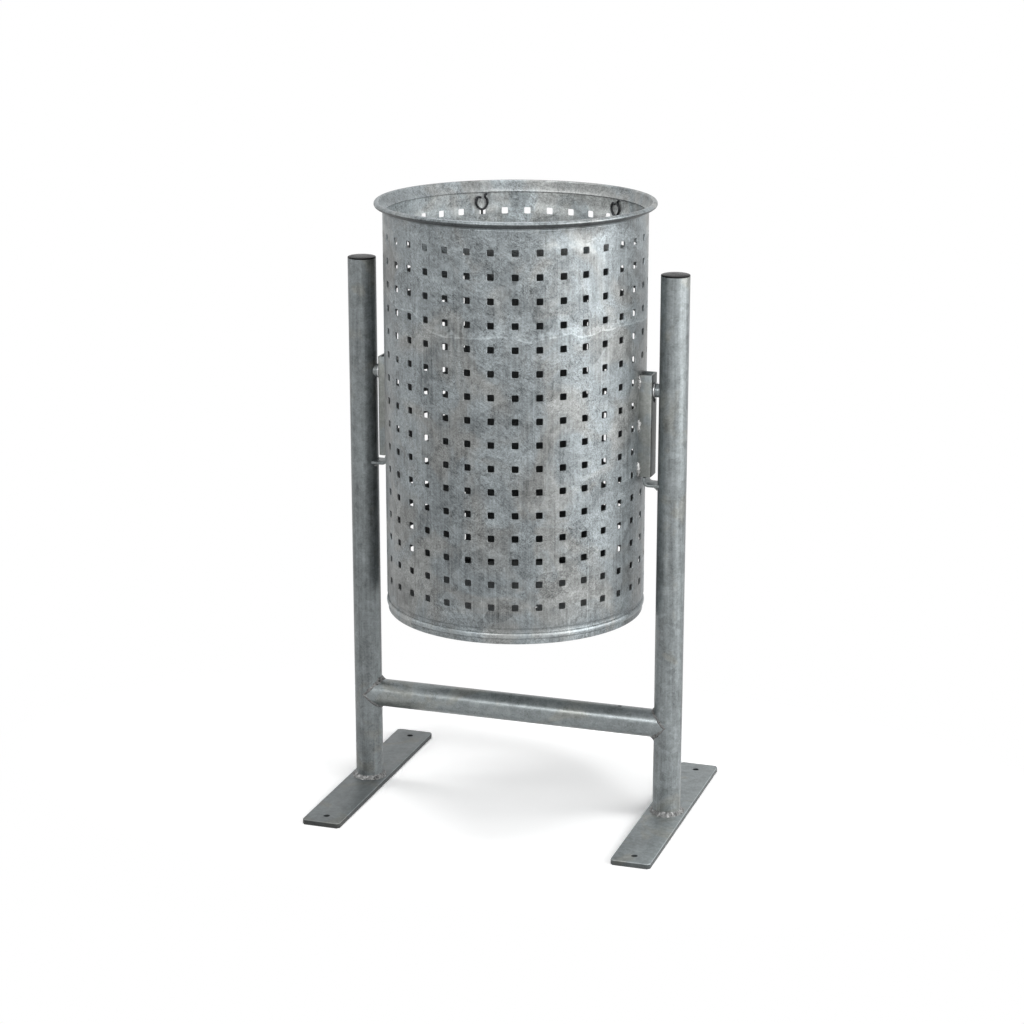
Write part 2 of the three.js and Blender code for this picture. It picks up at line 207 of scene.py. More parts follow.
def galvanized(name, tone, crystal, streak, roughness, warm=0.5, relief=0.00012, painted_shade=None, painted_highlight=None):
    """Hot-dip zinc on steel: clouded blue-grey and warm grey, crystals, grain and fine runs; where asked,
    painted shade past a depth along one axis and a painted highlight on a band of heights.
    """
    finish = Finish(name)
    where = finish.place()
    broad = finish.clouds(where, 16, 4.0, 0.6, 0.8)
    hue = finish.clouds(where, 11, 3.0, 0.55, 1.2)
    grain = finish.clouds(where, 430, 3.0, 0.7)
    mottle = finish.clouds(where, 120, 3.0, 0.6, 0.6)
    runs = finish.clouds(finish.place((210, 210, 9)), 1, 4.0, 0.6, 0.4)
    lightness, needles = zinc_crystals(finish, where, zinc_crystal)
    level = (
        1.0
        + 0.7 * (broad - 0.5)
        + 0.7 * (mottle - 0.5)
        + crystal * (0.9 * (lightness - 0.5) + 2.4 * (needles - 0.5))
        + streak * (runs - 0.5)
        + 0.16 * (finish.between(grain, 0.38, 0.62) - 0.5)
    )
    # Painted shade: the finish is darkened past a given distance along one axis.
    if painted_shade:
        axis, unshaded_end, shaded_end, share = painted_shade
        reach = finish.node("ShaderNodeMath", {"operation": "ABSOLUTE"}, {0: finish.along(where, axis)})
        level = level * (1.0 - share * finish.between(reach, unshaded_end, shaded_end))
    # Painted highlight: the finish is lightened on a thin band just below a given height.
    if painted_highlight:
        low, high, share = painted_highlight
        height = finish.along(where, "Z")
        edge = finish.between(height, low - 0.0003, low) * finish.between(height, high, high - 0.00004)
        level = level + share * edge
    cool = (0.91 * tone, 1.0 * tone, 1.02 * tone, 1)
    earthy = (0.955 * tone, 1.0 * tone, 0.955 * tone, 1)
    colour = finish.mixed(finish.between(hue, 0.62 - 0.24 * warm, 0.72 - 0.24 * warm), cool, earthy)
    unevenness = finish.clouds(where, 55, 2.0, 0.5)
    return finish.surface(
        Base_Color=finish.tinted(colour, level),
        Metallic=zinc_metal,
        Roughness=roughness + 0.22 * (lightness - 0.5) * crystal + 0.25 * (grain - 0.5),
        Normal=finish.bump(0.6 * unevenness + 0.2 * needles + 0.2 * grain, relief),
    )


def round_off(shape, edges, radius, segments=2, affect="EDGES"):
    """Breaks sharp edges or corners."""
    return bmesh.ops.bevel(
        shape, geom=edges, offset=radius, segments=segments, profile=0.5, affect=affect, material=-1,
        clamp_overlap=True,
    )


def rod(start, end, radius, sides=48):
    """A closed round bar between two points."""
    start, end = Vector(start), Vector(end)
    along = end - start
    place = Matrix.Translation((start + end) / 2) @ along.to_track_quat("Z", "Y").to_matrix().to_4x4()
    shape = bmesh.new()
    bmesh.ops.create_cone(
        shape, cap_ends=True, segments=sides, radius1=radius, radius2=radius, depth=along.length,
        matrix=place,
    )
    return shape


def block(low, high):
    """A closed box between two corners, for cutting or for further shaping."""
    low, high = Vector(low), Vector(high)
    shape = bmesh.new()
    place = Matrix.Translation((low + high) / 2) @ Matrix.Diagonal((*(high - low), 1))
    bmesh.ops.create_cube(shape, size=1, matrix=place)
    return shape


def loose_object(name, shape):
    """Turns a shape into an object, in place."""
    mesh = bpy.data.meshes.new(name)
    shape.to_mesh(mesh)
    shape.free()
    made = bpy.data.objects.new(name, mesh)
    bpy.context.scene.collection.objects.link(made)
    return made


def joined(shape, others, operation="DIFFERENCE"):
    """Cuts the other shapes out of this one, or joins them to it, and uses all of them up."""
    base = loose_object("base", shape)
    tools = [loose_object("tool", other) for other in others]
    for tool in tools:
        step = base.modifiers.new("step", "BOOLEAN")
        step.operation = operation
        step.solver = "EXACT"
        step.object = tool
    worked = base.evaluated_get(bpy.context.evaluated_depsgraph_get())
    result = bmesh.new()
    result.from_mesh(worked.to_mesh())
    worked.to_mesh_clear()
    for spent in [base, *tools]:
        mesh = spent.data
        bpy.data.objects.remove(spent)
        bpy.data.meshes.remove(mesh)
    return result


def finished(name, shape, material, turn=0.0, sharp=35):
    """Makes the final piece: turned into place, closed, smooth, with its finish on."""
    bmesh.ops.rotate(shape, verts=shape.verts, cent=(0, 0, 0), matrix=Matrix.Rotation(turn, 3, "Z"))
    bmesh.ops.remove_doubles(shape, verts=shape.verts, dist=1e-6)
    bmesh.ops.recalc_face_normals(shape, faces=shape.faces)
    piece = loose_object(name, shape)
    piece.data.materials.append(material)
    piece.data.shade_smooth()
    piece.data.set_sharp_from_angle(angle=radians(sharp))
    return piece


for side, turn in side_turns.items():
    # The plate's sides and underside are painted darker (painted shade) and the bevel round its top lighter
    # (painted highlight).
    plate_zinc_lit_and_shaded = galvanized(
        f"plate_zinc_lit_and_shaded_{side}", plate_lit_and_shaded_tones[side], 0.15, 0.10, 0.50, warm=0.2,
        painted_shade=("Z", plate_high.z - 0.0005, plate_high.z - 0.0014, 0.68),
        painted_highlight=(plate_high.z - plate_edge, plate_high.z, 0.5),
    )
    plate = block(plate_low, plate_high)
    upright = [edge for edge in plate.edges if abs(edge.verts[0].co.z - edge.verts[1].co.z) > 1e-4]
    round_off(plate, upright, plate_corner, 1)
    round_off(plate, plate.edges[:], plate_edge)
    drills = []
    for hole_y in (plate_low.y + anchor_inset, plate_high.y - anchor_inset):
        drill_low = (plate_middle.x, hole_y, plate_low.z - anchor_hole)
        drill_high = (plate_middle.x, hole_y, plate_high.z + anchor_hole)
        drills.append(rod(drill_low, drill_high, anchor_hole / 2, 32))
    foot_plate = finished(f"foot_plate_{side}", joined(plate, drills), plate_zinc_lit_and_shaded, turn)
    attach(foot_plate, "stand")
    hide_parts(f"{side}_foot_plate")

# Posts.
# Two lengths of 42.4 mm steel tube stand upright on the plates, each drilled through one wall for
# the pivot bolt. The zinc on them is duller than on the sheet, with blotches and upright runs.

post_low, post_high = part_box("right_post")
post_x = (post_low.x + post_high.x) / 2
tube_radius = (post_high.x - post_low.x) / 2
tube_wall = 0.0026
tube_end_edge = 0.0004
pivot_height = frame["record"]["behaviour"]["joints"][0]["pos_m"][2]
bolt_hole = 0.0126
# The posts are the same zinc: the right one is painted lighter (painted light), the left one darker (painted
# shade). Bosses and lock tabs take their post's tone.
post_lit_and_shaded_tones = {"right": 0.228, "left": 0.195}


def spun(outline, steps=96, closed=True):
    """Turns an outline of (radius, height) points round the upright axis."""
    shape = bmesh.new()
    corners = [shape.verts.new((radius, 0, height)) for radius, height in outline]
    following = corners[1:] + corners[:1] if closed else corners[1:]
    for here, there in zip(corners, following):
        shape.edges.new((here, there))
    bmesh.ops.spin(
        shape, geom=shape.verts[:] + shape.edges[:], cent=(0, 0, 0), axis=(0, 0, 1), dvec=(0, 0, 0),
        angle=tau, steps=steps, use_merge=True,
    )
    return shape


def moved(shape, offset):
    """Shifts a shape and hands it back."""
    bmesh.ops.translate(shape, verts=shape.verts, vec=offset)
    return shape


def tube_outline(low, high):
    """The cut wall of a tube with both ends' outer edges broken."""
    inner = tube_radius - tube_wall
    return [
        (inner, low), (tube_radius - tube_end_edge, low), (tube_radius, low + tube_end_edge),
        (tube_radius, high - tube_end_edge), (tube_radius - tube_end_edge, high), (inner, high),
    ]


post_zinc_lit_and_shaded = {}
for side, turn in side_turns.items():
    post_zinc_lit_and_shaded[side] = galvanized(
        f"post_zinc_lit_and_shaded_{side}", post_lit_and_shaded_tones[side], 0.28, 1.1, 0.42, warm=0.3, relief=0.00016
    )
    tube = moved(spun(tube_outline(post_low.z, post_high.z)), (post_x, 0, 0))
    drill = rod((post_low.x - tube_wall, 0, pivot_height), (post_x, 0, pivot_height), bolt_hole / 2)
    post = finished(f"post_{side}", joined(tube, [drill]), post_zinc_lit_and_shaded[side], turn)
    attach(post, "stand")
    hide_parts(f"{side}_post")

# Post caps.
# A moulded black plastic plug is pushed into the open top of each post after galvanizing. Its
# flange is as wide as the tube, a little domed, with a rounded edge.

cap_low, cap_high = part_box("right_post_cap")
cap_seat = post_high.z
cap_edge = 0.0007
cap_stem_slack = 0.0004
cap_stem_radius = tube_radius - tube_wall - cap_stem_slack
cap_dome = 0.0008
cap_seam = 0.0002
cap_black = 0.007


def moulded_plastic(name, shade):
    """Black moulded plastic: nearly even, with a fine grain and a soft sheen."""
    finish = Finish(name)
    where = finish.place()
    grain = finish.clouds(where, 900, 2.0, 0.5)
    dust = finish.between(finish.clouds(where, 60, 4.0, 0.6), 0.45, 0.8)
    colour = finish.mixed(dust, (shade, shade, 1.05 * shade, 1), (3 * shade, 3 * shade, 3 * shade, 1))
    return finish.surface(
        Base_Color=colour,
        Specular_IOR_Level=0.07,
        Roughness=0.28 + 0.2 * dust + 0.1 * (grain - 0.5),
        Normal=finish.bump(grain, 0.00005),
    )


cap_plastic = moulded_plastic("cap_plastic", cap_black)
for side, turn in side_turns.items():
    rim_height = cap_high.z - cap_dome
    outline = [
        (0, cap_low.z), (cap_stem_radius - cap_edge, cap_low.z), (cap_stem_radius, cap_low.z + cap_edge),
        (cap_stem_radius, cap_seat), (tube_radius - cap_seam, cap_seat), (tube_radius, cap_seat + cap_seam),
        (tube_radius, rim_height - 2 * cap_edge), (tube_radius - 0.3 * cap_edge, rim_height - cap_edge),
        (tube_radius - cap_edge, rim_height - 0.4 * cap_edge), (tube_radius - 2.2 * cap_edge, rim_height),
        (tube_radius * 0.6, cap_high.z - 0.0003), (0, cap_high.z),
    ]
    cap = moved(spun(outline, 64, closed=False), (post_x, 0, 0))
    post_cap = finished(f"post_cap_{side}", cap, cap_plastic, turn, 50)
    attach(post_cap, "stand")
    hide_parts(f"{side}_post_cap")

# Foot welds.
# A fillet weld runs round each post where it stands on its plate. It was laid by hand, so it is
# lumpy, and the zinc froze on it rough and paler than on the tube.

foot_weld_leg = 0.0055
foot_weld_sunk = 0.0004
foot_weld_arc = (radians(-15), radians(105))  # the part of the bead that shows
weld_relief = 0.0006
weld_tone = 0.235


def weld_finish(name, tone, brightness=1.1):
    """Zinc over a hand-laid bead: pale, speckled, with bright high spots and dark pits."""
    finish = Finish(name)
    where = finish.place()
    blotch = finish.clouds(where, 230, 4.0, 0.65, 0.5)
    speck = finish.clouds(where, 900, 2.0, 0.6)
    bright = finish.between(blotch, 0.52, 0.68)
    pit = finish.between(blotch, 0.46, 0.34)
    level = 0.80 + brightness * bright - 0.6 * pit + 0.6 * (speck - 0.5)
    return finish.surface(
        Base_Color=finish.tinted((tone, 1.01 * tone, tone), level),
        Metallic=0.75,
        Roughness=0.5 - 0.12 * bright + 0.2 * pit,
        Normal=finish.bump(0.7 * blotch + 0.3 * speck, weld_relief),
    )


def ring_bead(place, steps, sides=10):
    """A closed ring with each point laid by place(way round the ring, way round its section)."""
    ring, section = 1.0, 0.25
    shape = bmesh.new()
    bmesh.ops.create_circle(
        shape, segments=sides, radius=section,
        matrix=Matrix.Translation((ring, 0, 0)) @ Matrix.Rotation(pi / 2, 4, "X"),
    )
    bmesh.ops.spin(
        shape, geom=shape.verts[:] + shape.edges[:], cent=(0, 0, 0), axis=(0, 0, 1), dvec=(0, 0, 0),
        angle=tau, steps=steps, use_merge=True,
    )
    for vert in shape.verts:
        x, y, z = vert.co
        vert.co = place(atan2(y, x), atan2(z, hypot(x, y) - ring))
    return shape


def roughened(shape, depth, lump):
    """Pushes the skin in and out by a hand weld's unevenness; the same each time."""
    shape.normal_update()
    for vert in shape.verts:
        wave = noise.noise(vert.co / lump) + 0.5 * noise.noise(vert.co * 2.3 / lump)
        vert.co += vert.normal * depth * wave
    return shape


def foot_weld_point(around, across):
    """Across is 0 towards the plate's edge and a quarter turn up along the post."""
    low, high = foot_weld_arc
    reach = foot_weld_leg * (1 + 0.12 * sin(3 * around) + 0.08 * sin(19 * around))
    if low < across < high:
        spread = reach * 1.08 / (max(cos(across), 0.0) + max(sin(across), 0.0))
    else:
        spread = reach * 0.3
    radius = tube_radius - foot_weld_sunk + spread * cos(across)
    return Vector((post_x + radius * cos(around), radius * sin(around), plate_high.z + spread * sin(across)))


weld_zinc = weld_finish("weld_zinc", weld_tone)
for side, turn in side_turns.items():
    bead = roughened(ring_bead(foot_weld_point, 180, 16), 0.0011, 0.0026)
    foot_weld = finished(f"foot_weld_{side}", bead, weld_zinc, turn, 80)
    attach(foot_weld, "stand")
    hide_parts(f"{side}_foot_weld")

# Cross bar.
# The same tube ties the posts together near the ground. Its ends are sawn to the round of the
# posts, and one small hole on top lets the zinc bath run in and out.

bar_low, bar_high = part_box("cross_bar")
bar_z = (bar_low.z + bar_high.z) / 2
vent_hole = 0.006
vent_from_post = 0.054
saw_slack = 0.0003  # how far a sawn end reaches into the post's skin
bar_tone = 0.25


def post_core(side_x):
    """A solid in the place of a post, to saw tube ends to."""
    return rod((side_x, 0, plate_high.z), (side_x, 0, pivot_height * 1.2), tube_radius - saw_slack, 96)


bar = spun(tube_outline(-post_x, post_x))
bmesh.ops.rotate(bar, verts=bar.verts, cent=(0, 0, 0), matrix=Matrix.Rotation(pi / 2, 3, "Y"))
moved(bar, (0, 0, bar_z))
vent_x = post_x - tube_radius - vent_from_post
vent = rod((vent_x, 0, bar_z), (vent_x, 0, bar_z + 2 * tube_radius), vent_hole / 2, 24)
saws = [post_core(post_x), post_core(-post_x), vent]
bar_zinc = galvanized("bar_zinc", bar_tone, 0.25, 0.12, 0.33, warm=0.45, relief=0.00007)
cross_bar = finished("cross_bar_tube", joined(bar, saws), bar_zinc)
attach(cross_bar, "stand")
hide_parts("cross_bar")

# Cross bar welds.
# The bar is welded to each post all round. The bead is nearly flush at the sides, and it builds
# up to a fillet in one corner: on top at the left post, underneath at the right post.

bar_weld_leg = {"least": 0.0034, "most": 0.0064}
bar_weld_crown = 0.0005
bar_weld_sunk = 0.0004
bar_weld_root = 0.0012
bar_weld_tone = 0.185
bar_weld_side = {"right": -1, "left": 1}  # the fillet is above or below the bar


def bar_weld_point(side):
    """Lays the bead along the line where the two tubes meet, seen from the post on +X."""

    def place(around, across):
        up, out = sin(around), cos(around)
        fillet = max(0.0, up * bar_weld_side[side])
        leg = bar_weld_leg["least"] + (bar_weld_leg["most"] - bar_weld_leg["least"]) * fillet ** 2
        leg *= 1 + 0.14 * sin(7 * around) + 0.10 * sin(17 * around)
        root = Vector((post_x - tube_radius * abs(up), tube_radius * out, bar_z + tube_radius * up))
        on_bar = root - Vector((leg, 0, 0))
        facing = atan2(out, abs(up)) + (leg / tube_radius) * out * abs(out)
        on_post = Vector((
            post_x - tube_radius * cos(facing), tube_radius * sin(facing), root.z + leg * up * abs(up),
        ))
        bar_normal = Vector((0, out, up))
        post_normal = Vector((-cos(facing), sin(facing), 0))
        outward = (bar_normal + post_normal).normalized()
        if sin(across) < -0.2:
            return root - outward * bar_weld_root
        share = (1 - cos(across)) / 2
        straight = on_bar.lerp(on_post, share)
        hump = 4 * share * (1 - share)
        sunk = bar_weld_sunk * (1 - hump)
        hollow = 0.35 * fillet * hump
        return straight.lerp(root, hollow) + outward * (bar_weld_crown * hump - sunk)

    return place


bar_weld_zinc = weld_finish("bar_weld_zinc", bar_weld_tone, 0.5)
for side, turn in side_turns.items():
    bead = roughened(ring_bead(bar_weld_point(side), 180, 14), 0.0007, 0.0032)
    bar_weld = finished(f"cross_bar_weld_piece_{side}", bead, bar_weld_zinc, turn, 80)
    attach(bar_weld, "stand")
    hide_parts(f"{side}_cross_bar_weld")

# Pivot bosses and bolts.
# A short threaded round is welded to the inner side of each post. A hexagon bolt goes through the
# bin's channel and two washers into it, and the bin hangs and tips on the two bolts.

boss_low, boss_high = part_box("right_pivot_boss")
bolt_low, bolt_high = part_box("right_pivot_bolt")
outer_washer_low, outer_washer_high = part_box("right_outer_washer")
inner_washer_low, inner_washer_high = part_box("right_inner_washer")
boss_radius = (boss_high.z - boss_low.z) / 2
bolt_radius = 0.006
bolt_head_flats = 0.018
bolt_head_height = 0.0075
bolt_head_edge = 0.0008
washer_edge = 0.0004
bolt_tone = 0.45


def machined_zinc(name, tone):
    """Zinc-plated small parts: brighter and smoother than the dipped steel, dulled by handling."""
    finish = Finish(name)
    where = finish.place()
    wear = finish.clouds(where, 240, 4.0, 0.6)
    brushed = finish.clouds(finish.place((60, 900, 900)), 1, 2.0, 0.5)
    return finish.surface(
        Base_Color=finish.tinted((tone, 1.02 * tone, 1.03 * tone), 0.75 + 0.5 * wear),
        Metallic=0.9,
        Roughness=0.18 + 0.25 * wear,
        Normal=finish.bump(brushed, 0.00004),
    )


def lying_along_x(shape):
    """Turns an upright shape so that its top points along +X, at the pivot's height."""
    bmesh.ops.rotate(shape, verts=shape.verts, cent=(0, 0, 0), matrix=Matrix.Rotation(pi / 2, 3, "Y"))
    return moved(shape, (0, 0, pivot_height))


def washer(low_x, high_x, hole_radius, radius):
    """A flat ring with broken edges, standing across the pivot axis."""
    edge = washer_edge
    outline = [
        (hole_radius, low_x), (radius - edge, low_x), (radius, low_x + edge), (radius, high_x - edge),
        (radius - edge, high_x), (hole_radius, high_x),
    ]
    return lying_along_x(spun(outline, 64))


bolt_zinc = machined_zinc("bolt_zinc", bolt_tone)
for side, turn in side_turns.items():
    boss = washer(boss_low.x, post_x - tube_radius / 2, bolt_hole / 2, boss_radius)
    boss = joined(boss, [post_core(post_x)])
    pivot_boss = finished(f"pivot_boss_{side}", boss, post_zinc_lit_and_shaded[side], turn)
    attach(pivot_boss, "stand")
    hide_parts(f"{side}_pivot_boss")

    head_end = bolt_low.x + bolt_head_height
    head = rod(
        (bolt_low.x, 0, pivot_height), (head_end, 0, pivot_height), bolt_head_flats / sqrt(3), 6,
    )
    crown = [edge for edge in head.edges if all(vert.co.x < bolt_low.x + 1e-5 for vert in edge.verts)]
    round_off(head, crown, bolt_head_edge)
    shank = rod((head_end - 0.002, 0, pivot_height), (bolt_high.x, 0, pivot_height), bolt_radius)
    bolt = joined(head, [shank], "UNION")
    pivot_bolt = finished(f"pivot_bolt_{side}", bolt, bolt_zinc, turn)
    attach(pivot_bolt, "stand")
    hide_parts(f"{side}_pivot_bolt")

    for name, low, high in (
        ("outer_washer", outer_washer_low, outer_washer_high),
        ("inner_washer", inner_washer_low, inner_washer_high),
    ):
        ring = washer(low.x, high.x, bolt_hole / 2, (high.z - low.z) / 2)
        washer_piece = finished(f"{name}_{side}", ring, bolt_zinc, turn)
        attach(washer_piece, "pivot_washers")
        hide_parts(f"{side}_{name}")

# Lock tabs.
# A bent flat bar is welded under each channel to the post's inner side, with its end turned up.
# The hanging bin rests its channels over these ends, which keeps it from tipping by itself.

tab_low, tab_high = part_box("right_lock_tab")
tab_thickness = 0.004
tab_bend = 0.005  # inner radius
tab_edge = 0.0005
bend_steps = 8
tab_weld_low, tab_weld_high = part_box("right_lock_tab_weld")
tab_weld_sunk = 0.0002
tab_weld_section = [  # (out along the tab, down) from the corner between tab and post
    (-0.005, 0), (-0.003, -0.0028), (-0.0005, -0.0052), (0.008, -0.0085), (0.009, 0),
]


def flat_shape(points, thickness, axis):
    """A flat outline made into a plate, thickened along an axis."""
    shape = bmesh.new()
    outline = shape.faces.new([shape.verts.new(point) for point in points])
    raised = bmesh.ops.extrude_face_region(shape, geom=[outline])["geom"]
    top = [part for part in raised if isinstance(part, bmesh.types.BMVert)]
    bmesh.ops.translate(shape, verts=top, vec=Vector(axis) * thickness)
    return shape


def lock_tab():
    bend_x = tab_low.x + tab_thickness + tab_bend
    bend_z = tab_low.z + tab_thickness + tab_bend
    front = tab_low.y
    points = [(post_x, front, tab_low.z + tab_thickness), (post_x, front, tab_low.z)]
    for radius, steps in ((tab_bend + tab_thickness, range(bend_steps + 1)), (tab_bend, None)):
        for step in steps or range(bend_steps, -1, -1):
            turned = -pi / 2 - step / bend_steps * pi / 2
            points.append((bend_x + radius * cos(turned), front, bend_z + radius * sin(turned)))
        if steps:
            points.append((tab_low.x, front, tab_high.z))
            points.append((tab_low.x + tab_thickness, front, tab_high.z))
    shape = flat_shape(points, tab_high.y - tab_low.y, (0, 1, 0))
    shape.normal_update()
    sharp = [edge for edge in shape.edges if edge.calc_face_angle() > radians(60)]
    round_off(shape, sharp, tab_edge)
    return joined(shape, [post_core(post_x)])


def lock_tab_weld():
    """A lump of weld in the corner under the tab."""
    leg = tab_weld_high.z - tab_weld_low.z
    front = tab_weld_low.y
    corner_x, top = post_x - tube_radius, tab_low.z + tab_weld_sunk
    points = [(corner_x + out, front, top + down) for out, down in tab_weld_section]
    shape = flat_shape(points, tab_weld_high.y - front, (0, 1, 0))
    bmesh.ops.subdivide_edges(shape, edges=shape.edges[:], cuts=5, use_grid_fill=True)
    bmesh.ops.triangulate(shape, faces=[face for face in shape.faces if len(face.verts) > 4])
    for _ in range(2):
        bmesh.ops.smooth_vert(
            shape, verts=shape.verts, factor=0.5, use_axis_x=True, use_axis_y=True, use_axis_z=True
        )
    return roughened(shape, 0.0005 + 0.02 * min(leg, 0.01), 0.003)


for side, turn in side_turns.items():
    lock_piece = finished(f"lock_tab_{side}", lock_tab(), post_zinc_lit_and_shaded[side], turn)
    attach(lock_piece, "stand")
    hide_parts(f"{side}_lock_tab")
    lock_weld = finished(f"lock_tab_weld_{side}", lock_tab_weld(), weld_zinc, turn, 80)
    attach(lock_weld, "stand")
    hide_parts(f"{side}_lock_tab_weld")

# Bin wall.
# A steel sheet is punched with rows of square holes, rolled into a drum and welded shut. Its upper
# edge is flared and rolled over, a groove and a bead are rolled in near the foot, and the finished
# bin is dipped in zinc, which leaves crystals, clouds, runs and a tide mark where the bath stood.

wall_low, wall_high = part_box("bin_wall")
bin_radius = 0.1935
rim_radius = -wall_low.x
sheet = 0.002
columns = 35
rows = 16
row_pitch = 0.0343
top_row = wall_high.z - 0.0455
hole = 0.0098
hole_corner = 0.0015
hole_edge = 0.0005
wall_tone = 0.235
lip_radius = 0.004
lip_start, lip_turn = -118, 270  # degrees round the rolled lip
lip_steps = 10
flare_outer = [  # (out from the wall, up from the top of the rim)
    (0, -0.0160), (0.0005, -0.0146), (0.0002, -0.0137), (0.0008, -0.0128), (0.0066, -0.0088),
    (0.0070, -0.0078),
]
flare_inner = [
    (0, -0.0182), (-0.0009, -0.0170), (-0.0011, -0.0160), (-0.0004, -0.0153), (0.0010, -0.0142),
    (0.0062, -0.0058),
]
groove = [  # (out from the wall, up from the foot)
    (0, 0.0252), (-0.0004, 0.0243), (-0.0016, 0.0230), (-0.0023, 0.0215), (-0.0024, 0.0200),
    (-0.0023, 0.0180),
]
bead_middle = (-0.0021, 0.0125)
bead_out, bead_half = 0.0028, 0.0046
bead_steps = 8
band_in = -0.0018
foot_edge = 0.0005
# The inside of the same sheet is painted lighter than the outside (painted light), then darkened lower down
# by painted shade.
inner_lit_tone = 0.48
flare_darkened = 0.42  # how much darker the flare is than the wall inside, holding the inside's painted light lower there
inner_metal = 0.2
inner_painted_shade = 0.88  # painted shade: how much darker the inside is, well below the rim
lip_shaded = 0.72  # painted shade: how much darker the band under the lip is
feather_slant = radians(52)
wall_crystal, wall_coarse_crystal = 0.012, 0.035
wall_relief = 0.00022
# The inside's painted shade starts at the first height and is full at the second.
inside_shade_top, inside_shade_full = 0.875, 0.80
tide_height = 0.764
tide_climb = 0.030  # how much higher the mark stands on the left
drips = [(radians(51), 0.312, 0.47), (radians(42), 0.310, 0.352)]  # way round, lowest and highest point


def punched_sheet():
    """The sheet laid flat, X along the wall and Y up it, with its holes punched."""
    across, up = hole / 2 * columns / (tau * bin_radius), hole / 2 / row_pitch
    column_lines = (-0.5, -(0.5 + across) / 2, -across, across, (0.5 + across) / 2)
    row_lines = (-0.5, -up, up)
    shape = bmesh.new()
    bmesh.ops.create_grid(
        shape, x_segments=columns * len(column_lines), y_segments=rows * len(row_lines), size=1
    )
    for vert in shape.verts:
        x_line = round((vert.co.x + 1) / 2 * columns * len(column_lines))
        y_line = round((vert.co.y + 1) / 2 * rows * len(row_lines))
        column, x_part = divmod(x_line, len(column_lines))
        row, y_part = divmod(y_line, len(row_lines))
        vert.co.x = (column + column_lines[x_part]) * tau * bin_radius / columns
        vert.co.y = (row + row_lines[y_part]) * row_pitch
    punched = []
    for face in shape.faces:
        middle = face.calc_center_median()
        off_column = middle.x / (tau * bin_radius / columns)
        off_row = middle.y / row_pitch
        if abs(off_column - round(off_column)) < 0.01 and abs(off_row - round(off_row)) < 0.01:
            punched.append(face)
    corners = list({vert for face in punched for vert in face.verts})
    round_off(shape, corners, hole_corner, 2, "VERTICES")
    waste = [face for face in shape.faces if len(face.verts) > 8 and face.calc_area() > 0.8 * hole ** 2]
    bmesh.ops.delete(shape, geom=waste, context="FACES")
    return shape


def rolled_up(shape):
    """Bends the flat sheet into a drum, with the lowest row of holes at its height."""
    lowest_row = top_row - (rows - 1) * row_pitch
    for vert in shape.verts:
        around = vert.co.x / bin_radius
        vert.co = (bin_radius * cos(around), bin_radius * sin(around), vert.co.y + lowest_row)
    bmesh.ops.remove_doubles(shape, verts=shape.verts, dist=1e-5)
    bmesh.ops.recalc_face_normals(shape, faces=shape.faces)
    return shape


def ring_edges(shape, radius, height):
    """The edges of one level ring of the drum."""
    def on_ring(vert):
        return abs(vert.co.z - height) < 2e-5 and abs(hypot(vert.co.x, vert.co.y) - radius) < 2e-5

    return [edge for edge in shape.edges if all(on_ring(vert) for vert in edge.verts)]


def carried_on(shape, edges, outline):
    """Carries a ring of the sheet on through further (radius, height) points."""
    for radius, height in outline:
        grown = bmesh.ops.extrude_edge_only(shape, edges=edges)["geom"]
        new_verts = {part for part in grown if isinstance(part, bmesh.types.BMVert)}
        edges = [
            part for part in grown
            if isinstance(part, bmesh.types.BMEdge) and all(vert in new_verts for vert in part.verts)
        ]
        for vert in new_verts:
            scale = radius / hypot(vert.co.x, vert.co.y)
            vert.co = (vert.co.x * scale, vert.co.y * scale, height)


def rim_outlines():
    """The flare and the rolled lip, as paths for the sheet's outer and inner faces."""
    top = wall_high.z
    lip_r, lip_z = rim_radius - lip_radius, top - lip_radius
    outer = [(bin_radius + out, top + up) for out, up in flare_outer]
    for step in range(lip_steps + 1):
        turned = radians(lip_start + step * (lip_turn / lip_steps))
        outer.append((lip_r + lip_radius * cos(turned), lip_z + lip_radius * sin(turned)))
    inner = [(bin_radius - sheet + out, top + up) for out, up in flare_inner]
    return outer, inner + [outer[-1]]


def foot_outlines():
    """The groove, the bead and the drawn-in band, as offsets from the wall and heights."""
    steps = groove[:]
    for step in range(bead_steps + 1):
        turned = pi / 2 - step * pi / bead_steps
        steps.append((bead_middle[0] + bead_out * cos(turned), bead_middle[1] + bead_half * sin(turned)))
    steps += [(band_in, 0.0076), (band_in, foot_edge)]
    outer = [(bin_radius + offset, wall_low.z + height) for offset, height in steps]
    inner = [(radius - sheet, height) for radius, height in outer]
    end = [(outer[-1][0] - foot_edge, wall_low.z), (inner[-1][0] + foot_edge, wall_low.z), inner[-1]]
    return outer + end, inner


